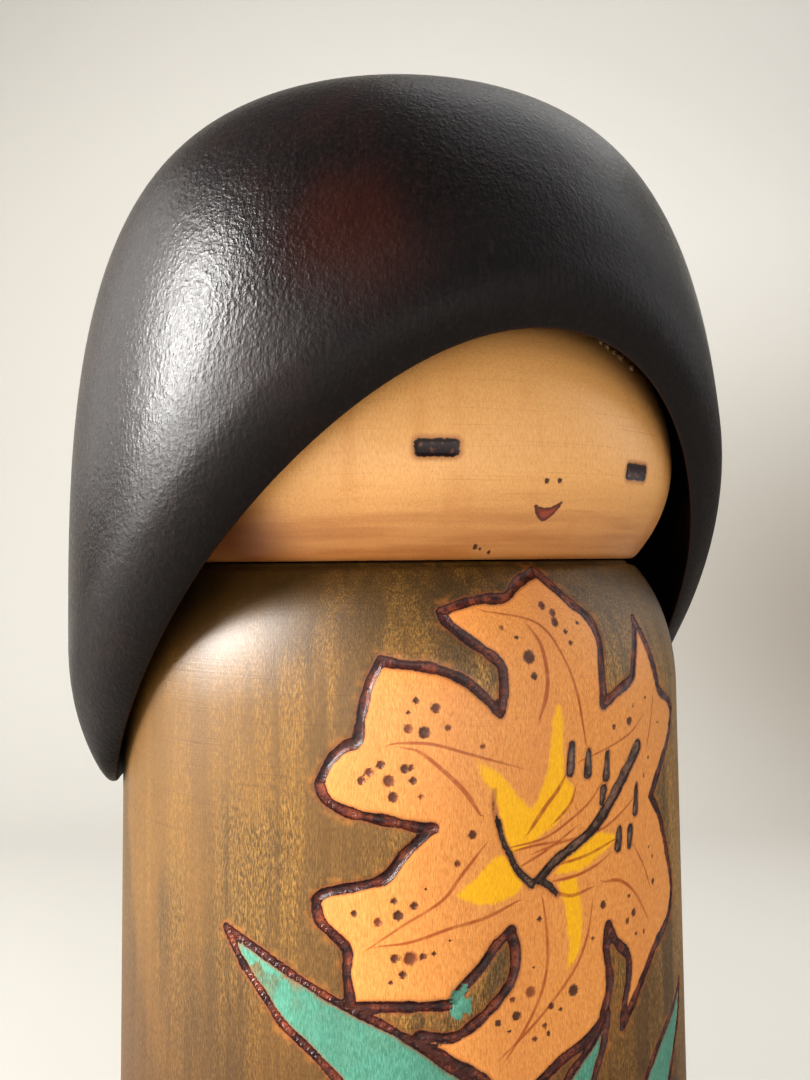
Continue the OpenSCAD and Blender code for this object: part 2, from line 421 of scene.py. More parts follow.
def draw_burnt(flat, petal, leaf_edges):
    """Distance outside the nearest burnt line, and the length run along it."""
    outlines = [(edge, OUTLINE_W, OUTLINE_W) for edge in PETAL_EDGES]
    petal_ink, petal_run = ink(outlines, flat, SEED)
    leaf_ink, leaf_run = ink(leaf_edges, flat, SEED + 40)
    over = petal < -OUTLINE_W / 4
    leaf_ink = np.where(over, np.maximum(leaf_ink, -petal * 0.7), leaf_ink)
    stroke_ink, stroke_run = ink(BURNT_STROKES + [(PISTIL, 1.2, PISTIL_W)], flat, SEED + 80, 0.1)
    fields = np.stack([petal_ink, leaf_ink, stroke_ink])
    runs = [petal_run, leaf_run + LEAF_RUN, stroke_run + STROKE_RUN]
    return fields.min(0), np.choose(fields.argmin(0), runs)


def draw_plant(flat):
    """Every drawn thing's field at points given as (across, height)."""
    drawn = {}
    leaf_edges, leaf = [], np.full(len(flat), FAR)
    for left, right in LEAVES.values():
        leaf_edges += [(left, LEAF_W, LEAF_W), (right, LEAF_W, LEAF_W)]
        shape = np.vstack([smooth_line(left), smooth_line(right)[::-1]])
        leaf = np.minimum(leaf, region(shape, flat))
    drawn["petal"] = region(np.vstack([smooth_line(edge)[:-1] for edge in PETAL_EDGES]), flat)
    drawn["leaf"] = np.where(drawn["petal"] < 0, FAR, leaf)
    drawn["dab"] = np.minimum(np.hypot(flat[:, 0] - DAB_X, (flat[:, 1] - DAB_Z) * DAB_FLAT) - DAB_R, FAR)
    drawn["burn"], drawn["burn_run"] = draw_burnt(flat, drawn["petal"], leaf_edges)
    for n, layer in enumerate(layered(VEINS)):
        drawn[f"vein{n}"] = hairlines(layer, flat)
    drawn["spot"], drawn["spot_no"] = spots(SPOTS, flat)
    yellow = np.full(len(flat), FAR)
    for patch in YELLOW_PATCHES:
        yellow = np.minimum(yellow, region(smooth_line(patch + patch[:1]), flat))
    drawn["yellow"] = yellow
    return drawn


def body_profile():
    round_r, edge_r, socket_r = 1.5, 0.8, DOWEL_R + 0.05
    turn = np.radians(spread((0, 90, 15)))
    foot = np.stack([BASE_R - round_r + round_r * np.sin(turn), -SEAM + round_r - round_r * np.cos(turn)], 1)
    z = spread((-SEAM + round_r + 0.6, -78, 0.65), (-78, -1, 0.5))
    wall = np.stack([body_radius(z), z], 1)
    bend = np.radians(spread((15, 90, 15)))
    lip = np.stack([TOP_R - 0.25 - edge_r * (1 - np.cos(bend)), -edge_r + edge_r * np.sin(bend)], 1)
    return np.vstack([
        [(0, -SEAM), (12, -SEAM), (25, -SEAM), (36, -SEAM)], foot, wall, lip,
        [(r, 0) for r in spread((TOP_R - 3, socket_r, 5))],
        [(socket_r, -SOCKET_DEPTH / 2), (socket_r, -SOCKET_DEPTH), (0, -SOCKET_DEPTH)]])


def make_body():
    profile = body_profile()
    angles = spread((-78, 52, 0.62), (52, 282, 2.6))[:-1]
    pts = turned_points(profile, angles)
    flat = np.stack([np.arctan2(pts[:, 0], -pts[:, 1]) * SHOULDER_R, pts[:, 2]], 1)
    flat[np.hypot(pts[:, 0], pts[:, 1]) <= TOP_R - 2] = NOWHERE
    drawn = draw_plant(flat)
    groove = np.clip(-drawn["burn"] / 0.6, 0, 1)
    pit = np.clip(1 - drawn["spot"], 0, 1)
    sink(pts, OUTLINE_DEPTH * groove * (2 - groove) + SPOT_DEPTH * pit)
    body = closed_mesh("turned_body", pts, len(angles), (profile[0, 1], profile[-1, 1]), SEAM)
    for name, values in drawn.items():
        add_field(body, name, values)
    return body


# ---- the face

# Each eye: its middle, half width and half height. Its corners are rounded.
EYES = [(-16.4, 14.3, 2.9, 1.15), (17.2, 12.2, 2.9, 1.15)]
MOUTH = [(-2.7, 7.4), (-1, 6.9), (0.4, 6.9), (2.4, 7.7), (1.5, 6.2), (0.6, 5.4), (-0.3, 5.0), (-1.2, 5.5),
         (-2, 6.4)]
FACE_SPOTS = [(-0.9, 10.3, 0.45), (1.2, 10.4, 0.45), (-10, 1.7, 0.45), (-9.2, 1.4, 0.35), (-7.6, 1.0, 0.4),
              (-17.9, 6, 0.22), (-17.5, 4.8, 0.22)]
EYE_CORNER, EYE_DEPTH, MARK_DEPTH = 0.6, 0.25, 0.1


def ball_radius(z):
    half = np.where(z < BALL_MID, BALL_LOW, BALL_HIGH)
    return BALL_R * np.sqrt(np.clip(1 - ((z - BALL_MID) / half) ** 2, 0, 1))


def face_profile():
    top_r, low_r, edge = float(ball_radius(BALL_TOP)), float(ball_radius(0.0)), 0.5
    z = spread((edge, 36, 0.5), (36, BALL_TOP, 0.9))
    wall = np.stack([ball_radius(z), z], 1)
    return np.vstack([
        [(0, SOCKET_DEPTH), (DOWEL_R, SOCKET_DEPTH), (DOWEL_R, SOCKET_DEPTH / 2), (DOWEL_R, 0)],
        [(r, 0) for r in spread((14, low_r - 1.2, 5))],
        [(low_r - 0.5, 0), (low_r - 0.12, 0.12)], wall, [(top_r / 2, BALL_TOP), (0, BALL_TOP)]])


def draw_face(flat):
    """The face's fields at points given as (across, height)."""
    eye = np.full(len(flat), FAR)
    for x, y, w, h in EYES:
        q = np.abs(flat - (x, y)) - (w - EYE_CORNER, h - EYE_CORNER)
        box = np.hypot(*np.maximum(q, 0).T) + np.minimum(q.max(1), 0) - EYE_CORNER
        eye = np.minimum(eye, box)
    drawn = {"eye": eye, "mouth": region(smooth_line(MOUTH + MOUTH[:1], 0.2), flat)}
    drawn["spot"], drawn["spot_no"] = spots(FACE_SPOTS, flat)
    return drawn


def make_face():
    profile = face_profile()
    angles = spread((-75, 75, 0.64), (75, 285, 3))[:-1]
    pts = turned_points(profile, angles)
    flat = np.stack([np.arctan2(pts[:, 0], -pts[:, 1]) * BALL_R, pts[:, 2]], 1)
    flat[(np.hypot(pts[:, 0], pts[:, 1]) < 15) | (pts[:, 2] < 0.05)] = NOWHERE
    drawn = draw_face(flat)
    sink(pts, EYE_DEPTH * np.clip(-drawn["eye"] / 0.5, 0, 1) + MARK_DEPTH * np.clip(1 - drawn["spot"], 0, 1))
    face = closed_mesh("turned_face", pts, len(angles), (profile[0, 1], profile[-1, 1]), SEAM + HEAD_LIFT)
    for name, values in drawn.items():
        add_field(face, name, values)
    return face


# ---- the hair cap

RIM_ROUND, INNER_ROUND, NAPE_BLEND = 9.0, 0.35, 5.0
# The rounding takes this much off the inner edge, so the cut starts that much lower.
RIM_SPARE = 0.55
# The rounding fades out over this height above the level rim.
RIM_FADE = 14
SWEEP_X = HOLLOW_R - SWEEP_R * math.sin(SWEEP_ANGLE)
SWEEP_Z = BROW_Z + SWEEP_R * math.cos(SWEEP_ANGLE)


def oval(r, z, radius, mid, half, bulge):
    """Rough distance to a bulging oval of revolution: bulge is its two powers."""
    u, w = r / radius, np.abs(z - mid) / half
    g = u ** bulge[0] + w ** bulge[1] - 1
    slope = np.hypot(bulge[0] * u ** (bulge[0] - 1) / radius, bulge[1] * w ** (bulge[1] - 1) / half)
    return g / np.maximum(slope, 1e-3)


def above_rim(z):
    """0 at the level rim, up to 1 where the cut has its full rounding."""
    return np.clip((z + RIM_DROP) / RIM_FADE, 0, 1)


def hair_outer(r, z):
    up = oval(r, z, HAIR_R, -HAIR_MID, CROWN + HAIR_MID, CROWN_BULGE)
    down = oval(r, z, HAIR_R, -HAIR_MID, SKIRT_H, SKIRT_BULGE)
    return np.where(z > -HAIR_MID, up, down)


def hair_hollow(r, z):
    dome = oval(r, z, HOLLOW_R, DOME_START, DOME_HALF, (HOLLOW_POWER, HOLLOW_POWER))
    wall = r - (HOLLOW_R - (HOLLOW_R - MOUTH_R) * np.clip(-z, 0, RIM_DROP) / RIM_DROP)
    return np.maximum(np.where(z > DOME_START, dome, wall), z - BALL_TOP)


def hair_removed(front, z):
    """Distance past the sweep and below the level rim: positive where the wood is cut away."""
    sweep = np.hypot(front - SWEEP_X, z - SWEEP_Z) - SWEEP_R - RIM_SPARE * above_rim(z)
    nape = -RIM_DROP - z
    gap = np.maximum(NAPE_BLEND - np.abs(sweep - nape), 0)
    return np.maximum(sweep, nape) + gap**2 / (4 * NAPE_BLEND)


def round_corner(a, b, radius, lean=0.0):
    """Overlap of two solids, its edge rounded. Lean is the cosine between their two faces' normals."""
    up, down = a + radius, b + radius
    arc = np.sqrt(np.maximum(up**2 + down**2 - 2 * lean * up * down, 0) / (1 - lean**2)) - radius
    return np.where((up > lean * down) & (down > lean * up), arc, np.maximum(a, b))


def slope_of(shape, u, v, eps=1e-3):
    """Unit direction in which a shape's distance grows fastest."""
    du, dv = shape(u + eps, v) - shape(u - eps, v), shape(u, v + eps) - shape(u, v - eps)
    size = np.maximum(np.hypot(du, dv), 1e-9)
    return du / size, dv / size


def hair_solid(p):
    """Signed distance to the cap, in millimetres in its own frame: its opening faces -Y."""
    r, front, z = np.maximum(np.hypot(p[:, 0], p[:, 1]), 1e-6), -p[:, 1], p[:, 2]
    a, b = hair_outer(r, z), hair_removed(front, z)
    (skin_r, skin_z), (cut_f, cut_z) = slope_of(hair_outer, r, z), slope_of(hair_removed, front, z)
    lean = np.clip(skin_r * front / r * cut_f + skin_z * cut_z, -0.9, 0.9)
    low = above_rim(z)
    shell = round_corner(a, b, RIM_ROUND * low * low * (3 - 2 * low) + 0.5, lean)
    return round_corner(shell, -hair_hollow(r, z), INNER_ROUND)


def rim_height(radius_at, angles):
    """Height at which the cut meets a turned surface, for each angle from the front."""
    lo, hi = np.full(len(angles), -RIM_DROP - 1.0), np.full(len(angles), 45.0)
    for _ in range(40):
        mid = (lo + hi) / 2
        cut = hair_removed(radius_at(mid) * np.cos(angles), mid) > 0
        lo, hi = np.where(cut, mid, lo), np.where(cut, hi, mid)
    return hi


def outer_radius(z):
    up = np.clip((z + HAIR_MID) / (CROWN + HAIR_MID), 0, 1)
    down = np.clip((-HAIR_MID - z) / SKIRT_H, 0, 1)
    crown = (1 - up ** CROWN_BULGE[1]) ** (1 / CROWN_BULGE[0])
    skirt = (1 - down ** SKIRT_BULGE[1]) ** (1 / SKIRT_BULGE[0])
    return HAIR_R * np.where(z > -HAIR_MID, crown, skirt)


def hollow_radius(z):
    dome = HOLLOW_R * (1 - np.clip((z - DOME_START) / DOME_HALF, 0, 1) ** HOLLOW_POWER) ** (1 / HOLLOW_POWER)
    wall = HOLLOW_R - (HOLLOW_R - MOUTH_R) * np.clip(-z, 0, RIM_DROP) / RIM_DROP
    return np.where(z > DOME_START, dome, wall)


def make_hair():
    """The cap's skin: rows of points run down the outside, round the cut rim and up the hollow.

    Then they settle on the rounded solid."""
    angles = np.radians(spread((-110, 110, 0.85), (110, 250, 2.5))[:-1])
    cols = len(angles)
    z_out = rim_height(outer_radius, angles)
    z_in = rim_height(hollow_radius, angles)
    r_out, r_in = outer_radius(z_out), hollow_radius(z_in)
    fine = 12.0
    rows = []
    for lean in np.sin(np.radians(np.linspace(88.5, 0, 56, endpoint=False))):
        z = z_out + fine + (CROWN - z_out - fine) * lean
        rows.append(np.stack([outer_radius(z), z], 1))
    for rise in np.arange(fine, 0.1, -0.45):
        rows.append(np.stack([outer_radius(z_out + rise), z_out + rise], 1))
    for t in 1 - np.linspace(1, 0, 20) ** 1.5:
        rows.append(np.stack([r_out + (r_in - r_out) * t, z_out + (z_in - z_out) * t], 1))
    for t in np.linspace(0, 1, 44)[1:] ** 1.8:
        z = z_in + (BALL_TOP - z_in) * t
        rows.append(np.stack([hollow_radius(z), z], 1))
    for r in (12.0, 8.0, 4.0):
        rows.append(np.stack([np.full(cols, r), np.full(cols, BALL_TOP)], 1))
    grid = np.array(rows)
    r, z = grid[..., 0], grid[..., 1]
    pts = np.stack([r * np.sin(angles), -r * np.cos(angles), z], -1).reshape(-1, 3)
    eps = 1e-3
    for _ in range(14):
        d = hair_solid(pts)
        slope = np.stack([hair_solid(pts + np.eye(3)[k] * eps) - d for k in range(3)], 1) / eps
        pts = pts - slope * (d / np.maximum((slope**2).sum(1), 0.2))[:, None] * 0.9
    turned = pts @ np.array(Matrix.Rotation(-CAP_TURN, 3, "Z")).T
    hair = closed_mesh("turned_hair", turned, cols, (CROWN, BALL_TOP), SEAM + HEAD_LIFT)
    hair.data.flip_normals()
    r = np.hypot(pts[:, 0], pts[:, 1])
    add_field(hair, "rim", np.clip(hair_removed(-pts[:, 1], pts[:, 2]), -20, 0))
    add_field(hair, "hollow", np.abs(hair_hollow(r, pts[:, 2])))
    return hair


# ---- the glue

# Specks on the ball just inside the cap: degrees round from the front, height above the seam, radius.
GLUE_SPECKS = [(19.2, 31, 0.45), (20.6, 30.5, 0.65), (22.4, 29.8, 0.6), (24.2, 29.2, 0.7), (27.6, 27.9, 0.6)]


def make_glue():
    """Specks of hardened glue, each a flattened knobbly drop."""
    rng = np.random.default_rng(SEED)
    lo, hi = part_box("glue_beads")
    both = bmesh.new()
    for angle, high, radius in GLUE_SPECKS:
        turn = math.radians(angle)
        out = float(ball_radius(high))
        centre = Vector((out * math.sin(turn), -out * math.cos(turn), SEAM + HEAD_LIFT + high))
        phase = rng.uniform(0, 6, 3)
        made = bmesh.ops.create_icosphere(both, subdivisions=3, radius=1.0)
        for v in made["verts"]:
            n = v.co.normalized()
            lump = 0.85 + 0.1 * math.sin(5 * n.x + phase[0]) * math.sin(4 * n.z + phase[1])
            lump += 0.05 * math.sin(9 * n.y + phase[2])
            v.co = np.clip((centre + n * radius * lump) * MM, lo, hi)
    mesh = bpy.data.meshes.new("glue_runs")
    both.to_mesh(mesh)
    both.free()
    return add_object("glue_runs", mesh)


# ---- materials

def colour(r, g, b):
    """A display colour of 0 to 255 as the linear values that Blender wants."""
    line = [c / 255 / 12.92 if c <= 10 else ((c / 255 + 0.055) / 1.055) ** 2.4 for c in (r, g, b)]
    return (*line, 1.0)


class Paint:
    """One material's node tree. Each call adds a node and gives back its output socket."""

    def __init__(self, name):
        self.mat = bpy.data.materials.new(name)
        self.mat.use_nodes = True
        self.tree = self.mat.node_tree
        self.shader = self.tree.nodes["Principled BSDF"]
        where = self.node("ShaderNodeTexCoord", out="Object")
        self.mm = self.node("ShaderNodeVectorMath", {0: where, "Scale": 1 / MM}, operation="SCALE")

    def put(self, socket, value):
        if isinstance(value, bpy.types.NodeSocket):
            self.tree.links.new(value, socket)
        else:
            socket.default_value = value

    def node(self, kind, inputs=(), out=0, **props):
        made = self.tree.nodes.new(kind)
        for key, value in props.items():
            setattr(made, key, value)
        for key, value in dict(inputs).items():
            self.put(made.inputs[key], value)
        return made.outputs[out]

    def set(self, **values):
        for key, value in values.items():
            self.put(self.shader.inputs[key.replace("_", " ")], value)

    def math(self, operation, a, b=0.0):
        return self.node("ShaderNodeMath", {0: a, 1: b}, operation=operation)

    def times(self, a, b):
        return self.math("MULTIPLY", a, b)

    def step(self, value, lo, hi, low=0.0, high=1.0):
        """Runs smoothly from low to high as value goes from lo to hi."""
        return self.node("ShaderNodeMapRange", {0: value, 1: lo, 2: hi, 3: low, 4: high},
                         interpolation_type="SMOOTHSTEP")

    def mix(self, factor, a, b):
        """Mixes two colours, each a socket or a display colour (r, g, b)."""
        a, b = [colour(*c) if isinstance(c, tuple) else c for c in (a, b)]
        return self.node("ShaderNodeMix", {0: factor, 6: a, 7: b}, out=2, data_type="RGBA")

    def over(self, base, value, lo, hi, most, tint):
        """A tint laid over a colour, from none of it where value is lo to most where it is hi."""
        return self.mix(self.step(value, lo, hi, 0.0, most), base, tint)

    def ramp(self, factor, *stops):
        made = self.node("ShaderNodeValToRGB", {0: factor}).node
        while len(made.color_ramp.elements) < len(stops):
            made.color_ramp.elements.new(0.5)
        for element, (place, value) in zip(made.color_ramp.elements, stops):
            element.position, element.color = place, colour(*value)
        return made.outputs[0]

    def stretched(self, x, y, z):
        """Object millimetres times (x, y, z)."""
        return self.node("ShaderNodeVectorMath", {0: self.mm, 1: (x, y, z)}, operation="MULTIPLY")

    def noise(self, vector, scale=1.0, detail=3.0, rough=0.55):
        inputs = {"Vector": vector, "Scale": scale, "Detail": detail, "Roughness": rough}
        return self.node("ShaderNodeTexNoise", inputs)

    def patches(self, x, y, z, detail=3.0):
        """Noise over object millimetres times (x, y, z)."""
        return self.noise(self.stretched(x, y, z), 1.0, detail)

    def wander(self, x, y, z, swing):
        """Noise to either side of nought, for ragged edges."""
        return self.times(self.math("SUBTRACT", self.patches(x, y, z), 0.5), swing)

    def field(self, name):
        return self.node("ShaderNodeAttribute", out="Fac", attribute_name=name)

    def fields(self, name):
        both = self.node("ShaderNodeAttribute", out="Vector", attribute_name=name)
        return self.node("ShaderNodeSeparateXYZ", {0: both}).node.outputs

    def height(self):
        return self.node("ShaderNodeSeparateXYZ", {0: self.mm}, out="Z")

    def aside(self):
        return self.node("ShaderNodeSeparateXYZ", {0: self.mm}, out="X")

    def sum(self, *parts):
        total = parts[0]
        for part in parts[1:]:
            total = self.math("ADD", total, part)
        return total

    def near(self, place, outer, inner):
        """0 further than outer from a place, rising to 1 within inner, in millimetres."""
        far = self.node("ShaderNodeVectorMath", {0: self.mm, 1: place}, out="Value", operation="DISTANCE")
        return self.step(far, outer, inner)

    def bump(self, height_mm):
        normal = self.node("ShaderNodeBump", {"Height": height_mm, "Distance": MM, "Strength": 1.0})
        self.put(self.shader.inputs["Normal"], normal)


def wood_grain(p, seed=0.0):
    """Fine upright flecks, broad upright streaks and level tool lines, each about 0 to 1."""
    moved = p.node("ShaderNodeVectorMath", {0: p.mm, 1: (seed, seed, seed)}, operation="ADD")

    def scaled(x, y, z):
        return p.node("ShaderNodeVectorMath", {0: moved, 1: (x, y, z)}, operation="MULTIPLY")

    fleck = p.noise(scaled(5.2, 5.2, 1.5), 1.0, 4.0, 0.65)
    fibre = p.noise(scaled(9.0, 9.0, 1.1), 1.0, 2.0, 0.5)
    streak = p.noise(scaled(0.16, 0.16, 0.012), 1.0, 4.0, 0.55)
    tool = p.noise(scaled(0.04, 0.04, 4.0), 1.0, 3.0, 0.7)
    return fleck, fibre, streak, tool


def stain_with_painted_shade(p, grain, streak, tool, high, burn):
    """Olive-brown stained wood in upright streaks, with painted shade making it darker on the shoulder under
    the cap, to the left and low down.
    """
    stain_and_shade = p.ramp(grain, (0.40, (84, 59, 20)), (0.50, (146, 106, 46)), (0.60, (206, 156, 82)))
    stain_and_shade = p.over(stain_and_shade, streak, 0.44, 0.58, 0.6, (66, 52, 34))
    thin = p.patches(0.55, 0.55, 0.02)
    stain_and_shade = p.over(stain_and_shade, thin, 0.50, 0.66, 0.5, (72, 54, 28))
    # painted shade: the body's left side darker
    stain_and_shade = p.over(stain_and_shade, p.aside(), -20, -42, 0.68, (66, 47, 18))
    warm = p.patches(0.045, 0.045, 0.02)
    stain_and_shade = p.over(stain_and_shade, warm, 0.45, 0.62, 0.35, (138, 96, 40))
    # painted shade on the shoulder under the cap
    stain_and_shade = p.over(stain_and_shade, high, SEAM - 19, SEAM - 3, 0.66, (50, 36, 16))
    stain_and_shade = p.over(stain_and_shade, tool, 0.58, 0.72, 0.5, (78, 50, 20))
    # painted shade: darker low down
    stain_and_shade = p.over(stain_and_shade, high, SEAM - 42, SEAM - 78, 0.6, (72, 42, 8))
    scatter = p.patches(0.7, 0.7, 0.7, 4.0)
    halo = p.times(p.step(burn, 1.5, 0.1), p.step(scatter, 0.45, 0.7, 0.0, 0.6))
    return p.mix(halo, stain_and_shade, (180, 116, 48))


def bare_petals(p, grain, streak, tool, petal):
    """Unstained wood with the gold paint of the throat."""
    bare = p.ramp(grain, (0.34, (200, 124, 58)), (0.5, (229, 152, 77)), (0.66, (243, 171, 94)))
    bare = p.over(bare, streak, 0.45, 0.7, 0.3, (212, 134, 74))
    bare = p.over(bare, tool, 0.56, 0.74, 0.18, (196, 120, 58))
    bare = p.over(bare, petal, -1.6, -0.3, 0.3, (214, 132, 62))
    gold = p.step(p.sum(p.field("yellow"), p.wander(1.2, 1.2, 0.4, 1.1)), 0.45, -0.2, 0.0, 0.96)
    gold_tone = p.mix(p.step(grain, 0.35, 0.65), (244, 170, 0), (254, 196, 0))
    return p.mix(gold, bare, gold_tone)


def add_veins(p, bare):
    """Painted hairlines, one layer of them at a time."""
    brushed = p.step(p.patches(0.5, 0.5, 0.5), 0.35, 0.6, 0.6, 0.9)
    for n in range(len(layered(VEINS))):
        side, plain, half = p.fields(f"vein{n}")
        line = p.step(p.math("SUBTRACT", p.math("ABSOLUTE", side), half), 0.16, -0.06)
        line = p.times(line, p.step(plain, 0.95, 0.75))
        bare = p.mix(p.times(line, brushed), bare, (168, 78, 18))
    return bare


def add_spots(p, bare, spot):
    """Burnt spots, each with its own brown."""
    number = p.math("ROUND", p.field("spot_no"))
    tone = p.node("ShaderNodeTexWhiteNoise", {"W": number}, noise_dimensions="1D")
    spot_tone = p.ramp(tone, (0.0, (66, 22, 14)), (0.5, (92, 36, 20)), (0.85, (138, 68, 30)),
                       (1.0, (178, 98, 44)))
    spot_tone = p.over(spot_tone, spot, 0.9, 0.2, 0.45, (54, 20, 16))
    edge = p.sum(spot, p.wander(3, 3, 3, 1.3))
    return p.mix(p.step(edge, 1.5, 0.6, 0.0, 0.93), bare, spot_tone)


def leaf_paint(p, grain, streak, high):
    """Teal paint, and how far it covers the wood: it is worn at the tips."""
    wear = p.step(p.patches(0.35, 0.35, 0.3, 4.0), 0.44, 0.56)
    tip = p.step(high, SEAM - 58, SEAM - 49)
    cover = p.math("SUBTRACT", 1.0, p.times(wear, p.sum(p.times(tip, 0.9), 0.06)))
    teal = p.mix(p.step(grain, 0.36, 0.64), (66, 128, 106), (102, 164, 142))
    return p.over(teal, streak, 0.4, 0.7, 0.4, (56, 112, 94)), cover


def charred(p, burn, run):
    """Burnt wood, near black where the iron rested and red-brown between, and its fine dabs."""
    along_x = p.node("ShaderNodeCombineXYZ", {0: run, 1: p.times(burn, 2.0), 2: 0.0})
    dab, dab_fine = p.noise(along_x, 0.55, 2.0), p.noise(along_x, 2.4, 2.0)
    char = p.ramp(dab, (0.36, (46, 18, 16)), (0.50, (86, 36, 26)), (0.64, (134, 66, 40)))
    char = p.over(char, dab_fine, 0.52, 0.66, 0.75, (40, 14, 12))
    char = p.over(char, burn, -0.34, -0.05, 0.85, (44, 14, 10))
    ash = p.mix(p.step(dab, 0.4, 0.6), (64, 42, 34), (134, 98, 82))
    ash = p.over(ash, dab_fine, 0.5, 0.62, 0.5, (58, 66, 40))
    ash = p.mix(p.step(burn, -0.45, -0.12), ash, (52, 28, 20))
    stroke = p.step(run, STROKE_RUN - 5, STROKE_RUN - 1)
    return p.mix(stroke, char, ash), dab_fine


def body_material():
    p = Paint("stained_and_painted_wood_with_painted_shade")
    fleck, fibre, streak, tool = wood_grain(p)
    high = p.height()
    burn, petal, spot = p.field("burn"), p.field("petal"), p.field("spot")
    grain = p.sum(p.times(fleck, 0.6), p.times(fibre, 0.4))

    stain_and_shade = stain_with_painted_shade(p, grain, streak, tool, high, burn)
    bare = add_spots(p, add_veins(p, bare_petals(p, grain, streak, tool, petal)), spot)
    teal, cover = leaf_paint(p, grain, streak, high)
    surface = p.mix(p.step(petal, 0.05, -0.05), stain_and_shade, bare)
    surface = p.mix(p.times(p.step(p.field("leaf"), 0.05, -0.15), cover), surface, teal)

    # pale scorch just outside the burnt grooves, then the grooves, then the dab of teal
    char, dab_fine = charred(p, burn, p.field("burn_run"))
    surface = p.over(surface, burn, 0.4, 0.0, 0.6, (150, 78, 34))
    burnt = p.step(p.sum(burn, p.wander(2.4, 2.4, 2.4, 0.28)), 0.06, -0.06)
    surface = p.mix(burnt, surface, char)
    dab = p.sum(p.field("dab"), p.wander(0.9, 0.9, 0.9, 3.2))
    surface = p.mix(p.step(dab, 0.1, -0.15), surface, teal)

    gloss = p.sum(p.step(grain, 0.35, 0.65, 0.46, 0.30), p.step(high, SEAM - 22, SEAM - 40, 0.0, 0.18))
    gloss = p.node("ShaderNodeMix", {0: burnt, 2: gloss, 3: 0.24})
    varnish = p.step(high, SEAM - 36, SEAM - 18, 0.06, 0.5)
    varnish = p.times(varnish, p.step(high, SEAM - 1, SEAM - 9, 0.1, 1.0))
    p.set(Base_Color=surface, Roughness=gloss, Specular_IOR_Level=0.4)
    p.set(Coat_Weight=varnish, Coat_Roughness=0.45)
    p.bump(p.sum(p.times(fleck, 0.055), p.times(fibre, 0.02), p.times(tool, 0.025),
                 p.times(p.step(burn, 0.05, -0.55), -0.22), p.times(p.times(dab_fine, burnt), 0.12),
                 p.times(p.step(spot, 1.0, 0.2), -0.12)))
    return p.mat


# Deepest under the cap's sweep the face is darkest, as painted shade with darkened wax; this is the middle of
# that corner.
SHADE_AND_WAX_CORNER = (-35.3, -21.4, SEAM + 3.1)


def face_material():
    p = Paint("waxed_face_wood_with_painted_shade")
    fleck, fibre, streak, tool = wood_grain(p, 40.0)
    high = p.math("SUBTRACT", p.height(), SEAM)
    grain = p.sum(p.times(fleck, 0.55), p.times(fibre, 0.45))
    wood = p.ramp(grain, (0.32, (220, 157, 89)), (0.5, (236, 177, 110)), (0.7, (245, 192, 127)))
    wood = p.over(wood, streak, 0.5, 0.72, 0.35, (208, 136, 70))
    wood = p.over(wood, high, 12, 0.5, 0.6, (166, 98, 44))
    wood = p.over(wood, tool, 0.56, 0.72, 0.3, (186, 116, 54))
    patchy = p.step(p.patches(0.05, 0.05, 0.7), 0.36, 0.7)
    smear = p.times(p.step(high, 12, 2), patchy)
    wood = p.mix(p.times(smear, 0.42), wood, (158, 88, 34))
    # painted shade with darkened wax in the corner under the cap
    wood = p.mix(p.times(p.near(SHADE_AND_WAX_CORNER, 11, 1), 0.8), wood, (96, 44, 10))
    eye, mouth = p.field("eye"), p.field("mouth")
    ragged = p.wander(1.6, 1.6, 1.6, 0.7)
    burnt = p.step(p.sum(eye, ragged), 0.14, -0.1)
    lobes = p.patches(1.1, 1.1, 1.1, 2.0)
    pale_lobe = p.times(p.step(eye, -0.3, -0.6), p.step(lobes, 0.52, 0.7))
    char = p.mix(pale_lobe, (34, 14, 12), (112, 68, 48))
    wood = p.over(wood, eye, 0.9, 0.0, 0.6, (150, 80, 36))
    wood = p.mix(burnt, wood, char)
    lip = p.mix(p.step(mouth, -0.6, -0.15), (154, 62, 44), (84, 28, 18))
    lip_edge = p.sum(mouth, p.times(ragged, 0.6))
    wood = p.mix(p.step(lip_edge, 0.08, -0.08, 0.0, 0.95), wood, lip)
    spot = p.field("spot")
    wood = p.over(wood, spot, 1.4, 0.7, 0.95, (62, 26, 16))
    gloss = p.step(grain, 0.35, 0.65, 0.5, 0.38)
    p.set(Base_Color=wood, Roughness=gloss, Coat_Weight=0.15, Coat_Roughness=0.35)
    p.set(Subsurface_Weight=0.04, Subsurface_Radius=(0.002, 0.001, 0.0005))
    p.bump(p.sum(p.times(fleck, 0.03), p.times(fibre, 0.012), p.times(tool, 0.02),
                 p.times(p.step(eye, 0.1, -0.5), -0.2), p.times(p.step(mouth, 0.1, -0.4), -0.05)))
    return p.mat


# The middle of the patch that is rubbed down to red-brown.
WORN_PLACE = (-26.0, -40.0, SEAM + 40.5)


